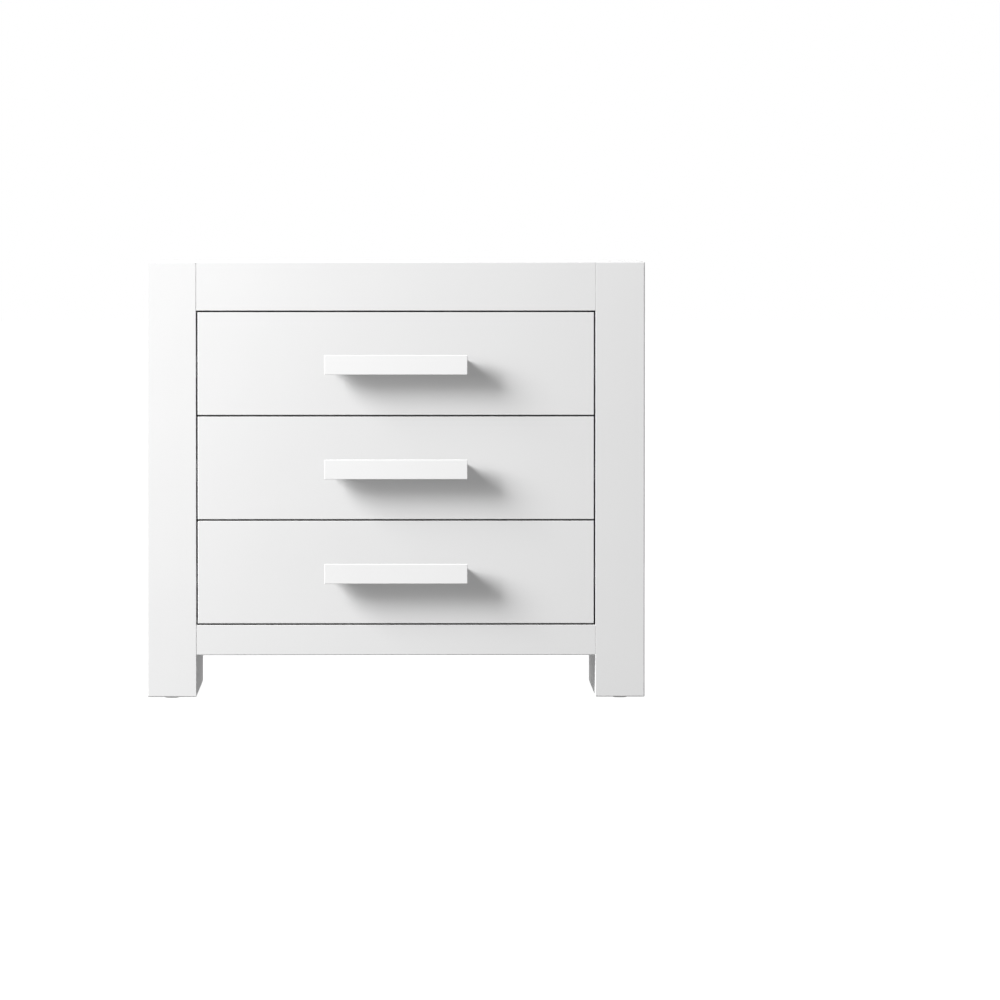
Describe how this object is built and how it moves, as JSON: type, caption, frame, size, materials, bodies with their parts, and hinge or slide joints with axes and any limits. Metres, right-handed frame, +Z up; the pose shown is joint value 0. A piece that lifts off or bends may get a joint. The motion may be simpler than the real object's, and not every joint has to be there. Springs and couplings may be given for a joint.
{
  "type": "changing table dresser",
  "caption": "Wide chest of inset drawers at changing-table height, with a chunky flush frame, hollow side slabs, slab handles and a flat top for a changing pad.",
  "frame": {"origin": "on the floor, in the middle of the overall width and of the overall depth with the handles", "axes": "+X to the right seen from the front, +Y to the back, +Z up; the drawers open towards -Y"},
  "size_m": [1.05, 0.596, 0.92],
  "materials": {
    "lacquer": "white satin lacquer on MDF",
    "handle_lacquer": "white satin lacquer",
    "drawer_board": "matt white melamine facing",
    "hardboard": "white-faced hardboard, matt",
    "timber": "bare wood",
    "zinc_steel": "bright zinc plating",
    "cast_zinc": "cast zinc, dull",
    "glide_plastic": "matt grey"
  },
  "bodies": {
    "carcass": {"left_front_stile": "lacquer", "left_rear_stile": "lacquer", "left_outer_panel": "lacquer", "left_inner_panel": "lacquer", "left_core_rails": "timber", "left_top_cap": "lacquer", "right_front_stile": "lacquer", "right_rear_stile": "lacquer", "right_outer_panel": "lacquer", "right_inner_panel": "lacquer", "right_core_rails": "timber", "right_top_cap": "lacquer", "top_panel": "lacquer", "top_front_rail": "lacquer", "top_rear_rail": "lacquer", "top_lower_panel": "lacquer", "bottom_front_rail": "lacquer", "bottom_panel": "lacquer", "bottom_rear_rail": "lacquer", "back_panel": "hardboard", "carcass_connectors": "cast_zinc", "carcass_dowels": "timber", "back_screws": "zinc_steel", "floor_glides": "glide_plastic", "wall_anchor_plates": "zinc_steel", "cabinet_slide_rails": "zinc_steel", "cabinet_slide_screws": "zinc_steel"},
    "drawer_1": {"drawer_1_front": "lacquer", "drawer_1_left_side": "drawer_board", "drawer_1_right_side": "drawer_board", "drawer_1_back": "drawer_board", "drawer_1_bottom": "hardboard", "drawer_1_handle_bar": "handle_lacquer", "drawer_1_handle_strip": "handle_lacquer", "drawer_1_connectors": "cast_zinc", "drawer_1_screws": "zinc_steel", "drawer_1_drawer_rails": "zinc_steel"},
    "drawer_1_slide_middle": {"drawer_1_middle_rails": "zinc_steel"},
    "drawer_2": {"drawer_2_front": "lacquer", "drawer_2_left_side": "drawer_board", "drawer_2_right_side": "drawer_board", "drawer_2_back": "drawer_board", "drawer_2_bottom": "hardboard", "drawer_2_handle_bar": "handle_lacquer", "drawer_2_handle_strip": "handle_lacquer", "drawer_2_connectors": "cast_zinc", "drawer_2_screws": "zinc_steel", "drawer_2_drawer_rails": "zinc_steel"},
    "drawer_2_slide_middle": {"drawer_2_middle_rails": "zinc_steel"},
    "drawer_3": {"drawer_3_front": "lacquer", "drawer_3_left_side": "drawer_board", "drawer_3_right_side": "drawer_board", "drawer_3_back": "drawer_board", "drawer_3_bottom": "hardboard", "drawer_3_handle_bar": "handle_lacquer", "drawer_3_handle_strip": "handle_lacquer", "drawer_3_connectors": "cast_zinc", "drawer_3_screws": "zinc_steel", "drawer_3_drawer_rails": "zinc_steel"},
    "drawer_3_slide_middle": {"drawer_3_middle_rails": "zinc_steel"}
  },
  "joints": [
    {"name": "drawer_1_slide", "type": "slide", "parent": "carcass", "child": "drawer_1", "axis": [0, -1, 0], "range_m": [0, 0.43]},
    {"name": "drawer_1_middle_slide", "type": "slide", "parent": "carcass", "child": "drawer_1_slide_middle", "axis": [0, -1, 0], "range_m": [0, 0.215]},
    {"name": "drawer_2_slide", "type": "slide", "parent": "carcass", "child": "drawer_2", "axis": [0, -1, 0], "range_m": [0, 0.43]},
    {"name": "drawer_2_middle_slide", "type": "slide", "parent": "carcass", "child": "drawer_2_slide_middle", "axis": [0, -1, 0], "range_m": [0, 0.215]},
    {"name": "drawer_3_slide", "type": "slide", "parent": "carcass", "child": "drawer_3", "axis": [0, -1, 0], "range_m": [0, 0.43]},
    {"name": "drawer_3_middle_slide", "type": "slide", "parent": "carcass", "child": "drawer_3_slide_middle", "axis": [0, -1, 0], "range_m": [0, 0.215]}
  ],
  "couplings": [
    {"joint": "drawer_1_middle_slide", "follows": "drawer_1_slide", "ratio": 0.5},
    {"joint": "drawer_2_middle_slide", "follows": "drawer_2_slide", "ratio": 0.5},
    {"joint": "drawer_3_middle_slide", "follows": "drawer_3_slide", "ratio": 0.5}
  ]
}
